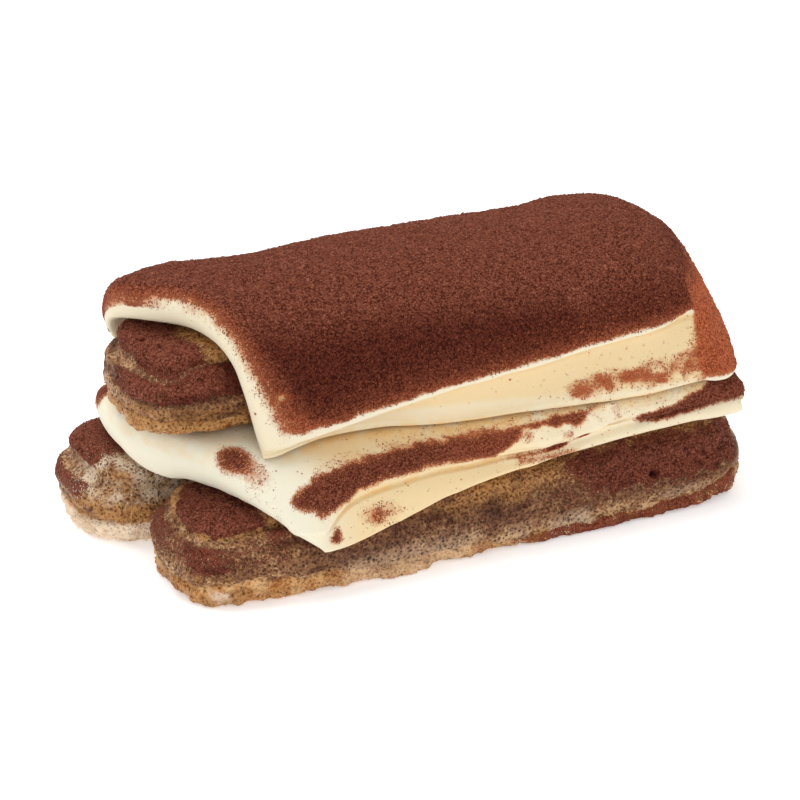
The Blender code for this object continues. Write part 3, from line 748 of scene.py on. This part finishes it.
face = (y < 0) * ramp(48.3, 47.3, x + 0.3 * ragged) * ramp(lip_bottom + 0.5, lip_bottom - 0.3, z)
rim_top = np.interp(x, *RIM_TOP)
dome = ramp(47.0, 48.2, x + 0.3 * ragged) * ramp(7, 3, y)
above_line = np.clip(0.5 + (z - dust_line + 0.5 * ragged) / 1.8, 0, 1)
above_rim = np.clip(0.5 + (z - rim_top + 0.5 * ragged) / 1.8, 0, 1)
upper_dust = nose * (above_line * (1 - dome) + above_rim * dome)
patch_top = np.interp(x, *PATCH_TOP)
patch = between(z + 0.8 * ragged, 26.5, patch_top, 1.3) * ramp(12, 28, x) * face
veil = ramp(7.0, 0.0, z - patch_top) * ramp(4, 22, x) * face
dent = near(points, DENT, (2.4, 1.8, 1.5))
rough_lump = near(points, ROUGH_LUMP, 4.5)
lip_crease = ramp(0.6, 0.1, np.abs(z - lip_bottom + 0.3)) * (y < 0) * ramp(-33, -29, x) * ramp(48, 46, x)
upper_cocoa = upper_dust * 1.35 + patch * (0.46 + 0.5 * lumps(points, 1.5, 76)) + 0.22 * veil
upper_cocoa += 0.3 * face * ramp(44.5, 47.5, x) + 0.14 * ramp(-4, 0, past_end) * outside * (1 - nose)
upper_cocoa *= 1 - 0.7 * dent

# Painted shade: the cocoa is darker on the steep front slope, standing in for the shade among its grains.
shaded_front_slope = ramp(0.90, 0.55, normals[:, 2]) * ramp(4, -4, y)
low_front = ramp(8, 1, z - dust_line) * ramp(2, -2, y) * (1 - dome)
above_edge = np.where(dome > 0.5, z - rim_top, z - dust_line)
edge = np.clip(0.5 * ramp(2.4, 0.3, above_edge) + ramp(1.7, 0.5, past_end / fringe), 0, 1)
right_end = ramp(47.0, 48.2, x) * ramp(18, -14, y + 5 * ragged) * ramp(46, 36, z + 1.5 * ragged)
upper_deep_and_shade = shaded_front_slope + 0.12 * lumps(points, 9.0, 77) * shaded_front_slope + 0.55 * rough_lump
upper_deep_and_shade -= 0.5 * near(points, SMOOTH_LUMP, 4.0) + 0.12 * low_front + 0.6 * edge
upper_deep_and_shade *= 1 - right_end
upper_thin = 0.20 * low_front + 0.42 * edge + 1.2 * right_end + 0.42 * np.clip(patch + veil + face, 0, 1)
upper_thin += 0.6 * dent

graininess = 0.5 - cell_distance(points, 0.9, 79)
out = 0.2 * layered(points, 8.0, 73, 2) + upper_dust * (0.16 * lumps(points, 1.9, 74) + 0.36 * graininess)
out += 0.5 * rough_lump * lumps(points, 1.5, 78)
out += 0.12 * ramp(0.9, 0.0, np.abs(z - lip_bottom - 0.5)) * lumps(points, 2.0, 75)
out -= 1.2 * dent + 0.35 * lip_crease
points += normals * (out - 0.15)[:, None]
points[:, 2] += 0.8 * ramp(48, 52, x) * ramp(27.0, 25.0, z) * ramp(-5, -12, y)
write_shape(upper_sheet, points)
# Also yellower and darker towards the left end: painted shade on the end faces.
face_yellow = face * (0.3 + 0.6 * ramp(25.8, 27.5, z + 0.05 * (x - 30))) + 0.15 + 0.15 * ramp(-30, -36, x)
# Warm tint low on the face, and painted shade in the crease under the lip and along the face's foot against
# the lower sheet.
face_warm_and_shade = 0.22 * ramp(28.0, 25.5, z) * ramp(34, 20, x) + 0.8 * ramp(25.6, 24.6, z)
face_warm_and_shade = face * face_warm_and_shade * ramp(-34, -26, x) + 0.3 * lip_crease + dent
paint(upper_sheet, cocoa=upper_cocoa, thin=upper_thin, deep=upper_deep_and_shade, yellow=face_yellow, warm=face_warm_and_shade)
upper_sheet_cover = ramp(0.35, 1.0, upper_dust) + 0.10 * patch + 0.02 * veil + 0.002
upper_sheet_cover *= (1 - 0.5 * right_end) * (1 - dent)

# Cocoa grains: loose grains of the same powder, 0.2 to 0.4 mm across, lying on the dusted places, and
# clumps of them up to 0.7 mm. They are tetrahedra and octahedra, each turned and stretched its own way,
# joined as one mesh for each kind.

PAINTS = ("cocoa", "thin", "deep", "crust", "wet", "pale")
GRAIN_COUNT = 48000
GRAIN_RADIUS = (0.10, 0.21)
GRAIN_SUNK = 0.35
CLUMP_COUNT = 5000
CLUMP_RADIUS = (0.20, 0.36)
CLUMP_SUNK = 0.6
rng = np.random.default_rng(7)


def painted(piece, name):
    """The numbers stored for a piece's points, or zeros where it has none."""
    values = np.zeros(len(piece.data.vertices), dtype=np.float32)
    if name in piece.data.attributes:
        piece.data.attributes[name].data.foreach_get("value", values)
    return values


def scatter(targets, count):
    """Random places on pieces, in proportion to an amount, and the normals and paint there."""
    corners, normals, coats, weights = [], [], [], []
    for piece, amount in targets:
        mesh = piece.data
        mesh.calc_loop_triangles()
        triangles = np.empty(len(mesh.loop_triangles) * 3, dtype=int)
        mesh.loop_triangles.foreach_get("vertices", triangles)
        triangles = triangles.reshape(-1, 3)
        points, facing = read_shape(piece)
        corner = points[triangles]
        area = np.linalg.norm(np.cross(corner[:, 1] - corner[:, 0], corner[:, 2] - corner[:, 0]), axis=1)
        corners.append(corner)
        normals.append(facing[triangles[:, 0]])
        coats.append(np.stack([painted(piece, name) for name in PAINTS], axis=1)[triangles[:, 0]])
        weights.append(area * amount[triangles].mean(axis=1))
    sources = (corners, normals, coats, weights)
    corners, normals, coats, weights = (np.concatenate(each) for each in sources)
    chosen = rng.choice(len(corners), count, p=weights / weights.sum())
    shares = rng.dirichlet((1, 1, 1), count)
    return np.einsum("ns,nsk->nk", shares, corners[chosen]), normals[chosen], coats[chosen]


def bits(name, shape, targets, count, radii, sunk):
    """Small solids of a shape, each turned and stretched its own way, scattered as one mesh."""
    corner, faces = shape
    places, facing, coats = scatter(targets, count)
    radius = rng.uniform(*radii, count)
    places = places + facing * (radius * (1 - 2 * sunk))[:, None]
    turns = np.linalg.qr(rng.normal(size=(count, 3, 3)))[0]
    turns[:, :, 0] *= np.sign(np.linalg.det(turns))[:, None]
    stretch = rng.uniform(0.7, 1.3, (count, len(corner), 3))
    turned = np.einsum("nij,kj->nki", turns, corner)
    points = np.clip(turned * stretch * radius[:, None, None] + places[:, None, :], BOX_LOW, BOX_HIGH)
    points = points.reshape(-1, 3) * MM
    numbers = faces[None] + len(corner) * np.arange(count)[:, None, None]
    mesh = bpy.data.meshes.new(name)
    mesh.from_pydata(points.tolist(), [], numbers.reshape(-1, faces.shape[1]).tolist())
    piece = bpy.data.objects.new(name, mesh)
    bpy.context.scene.collection.objects.link(piece)
    paint(piece, **dict(zip(PAINTS, np.repeat(coats, len(corner), axis=0).T)))
    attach(piece, "root")
    return piece


TETRAHEDRON = (
    np.array(((1, 1, 1), (1, -1, -1), (-1, 1, -1), (-1, -1, 1))) / math.sqrt(3),
    np.array(((0, 1, 2), (0, 3, 1), (0, 2, 3), (1, 3, 2))),
)
OCTAHEDRON = (
    np.array(((1, 0, 0), (-1, 0, 0), (0, 1, 0), (0, -1, 0), (0, 0, 1), (0, 0, -1))),
    np.array(((0, 2, 4), (2, 1, 4), (1, 3, 4), (3, 0, 4), (2, 0, 5), (1, 2, 5), (3, 1, 5), (0, 3, 5))),
)
dusted = (
    (upper_sheet, upper_sheet_cover),
    (lower, lower_cover),
    (front, 0.5 * front_cover),
    (back, 0.5 * back_cover),
    (upper, 0.6 * upper_cover),
)
grains = bits("cocoa_grains", TETRAHEDRON, dusted, GRAIN_COUNT, GRAIN_RADIUS, GRAIN_SUNK)
clumps = bits("cocoa_clumps", OCTAHEDRON, dusted[:1], CLUMP_COUNT, CLUMP_RADIUS, CLUMP_SUNK)


def grain_finish():
    """Dry cocoa powder: dull, dark or reddish as the dusting round it is."""
    finish = Finish("cocoa_grain")
    tone = finish.noise(0.7, 2.0)
    colour = finish.mix(tone.ramp(0.35, 0.65), COCOA, COCOA_LIGHT)
    # Darker where the surface under the grain is painted deep, which in places is painted shade.
    colour = finish.mix(finish.painted("deep"), colour, COCOA_DEEP, "MULTIPLY")
    colour = finish.mix(finish.painted("thin"), colour, COCOA_THIN_LIGHT)
    finish.fix(Specular_IOR_Level=0.15)
    return finish.done(colour, tone, 0.05, 0.9)


grain_material = grain_finish()
for piece in (grains, clumps):
    piece.data.materials.append(grain_material)

# Crumbs and sugar: broken bits of the biscuits' crust along their bases, and undissolved sugar on the
# far biscuit's wet crease and crust.

CRUMB_COUNT = 6000
CRUMB_RADIUS = (0.16, 0.42)
CRUMB_SUNK = 0.62
SUGAR_COUNT = 450
SUGAR_RADIUS = (0.06, 0.14)
SUGAR_SUNK = 0.4
SUGAR_COLOUR = (0.74, 0.64, 0.52, 1.0)

crusts = [(piece, painted(piece, "crust") ** 2) for piece in (front, back, upper)]
crumbs = bits("crust_crumbs", OCTAHEDRON, crusts, CRUMB_COUNT, CRUMB_RADIUS, CRUMB_SUNK)
crumbs.data.materials.append(biscuit_material)
sugar = bits("sugar_crystals", OCTAHEDRON, ((back, back_sugar),), SUGAR_COUNT, SUGAR_RADIUS, SUGAR_SUNK)


def sugar_finish():
    finish = Finish("sugar_crystal")
    finish.fix(Base_Color=SUGAR_COLOUR, Roughness=0.3)
    return finish.material


sugar.data.materials.append(sugar_finish())

# Stage: a pale floor under soft light from all round, and a camera with a long lens. The floor glows a
# little, so that it comes out white.

WHITE = (1.0, 1.0, 1.0, 1.0)
FLOOR_COLOUR = (0.93, 0.93, 0.93, 1.0)
FLOOR_GLOW = 0.34
FLOOR_SIZE = 8.0
FLOOR_BELOW = 0.0002
SKY_STRENGTH = 0.78


def floor_finish():
    finish = Finish("pale_floor")
    finish.fix(Base_Color=FLOOR_COLOUR, Roughness=0.9, Emission_Color=WHITE, Emission_Strength=FLOOR_GLOW)
    return finish.material


bpy.ops.mesh.primitive_plane_add(size=FLOOR_SIZE, location=(0, 0, -FLOOR_BELOW))
floor = bpy.context.object
floor.name = "floor"
floor.data.materials.append(floor_finish())

world = bpy.data.worlds.new("studio")
world.use_nodes = True
sky = world.node_tree.nodes["Background"].inputs
sky["Color"].default_value = WHITE
sky["Strength"].default_value = SKY_STRENGTH
bpy.context.scene.world = world


def soft_light(name, place, size, power):
    light = bpy.data.lights.new(name, "AREA")
    light.size = size
    light.energy = power
    lamp = bpy.data.objects.new(name, light)
    bpy.context.scene.collection.objects.link(lamp)
    lamp.location = place
    lamp.rotation_euler = (-Vector(place)).to_track_quat("-Z", "Y").to_euler()


soft_light("overhead", (-0.12, 0.16, 0.7), 0.45, 2.8)
soft_light("front", (-0.2, -0.8, 0.35), 0.6, 0.8)

CAMERA_TURN = math.radians(-25.88)
CAMERA_RISE = math.radians(24.73)
CAMERA_DISTANCE = 0.6554
LOOK_AT = Vector((0.0001, 0.0002, 0.0189))
LENS = 160.96
SENSOR_WIDTH = 36.0
NEAREST = 0.01

level = math.cos(CAMERA_RISE)
back_along = Vector((math.sin(CAMERA_TURN) * level, -math.cos(CAMERA_TURN) * level, math.sin(CAMERA_RISE)))
camera = bpy.data.objects.new("camera", bpy.data.cameras.new("camera"))
bpy.context.scene.collection.objects.link(camera)
camera.data.lens = LENS
camera.data.sensor_width = SENSOR_WIDTH
camera.data.clip_start = NEAREST
camera.location = LOOK_AT + back_along * CAMERA_DISTANCE
camera.rotation_euler = (-back_along).to_track_quat("-Z", "Y").to_euler()
bpy.context.scene.camera = camera
bpy.context.scene.view_settings.view_transform = "Standard"
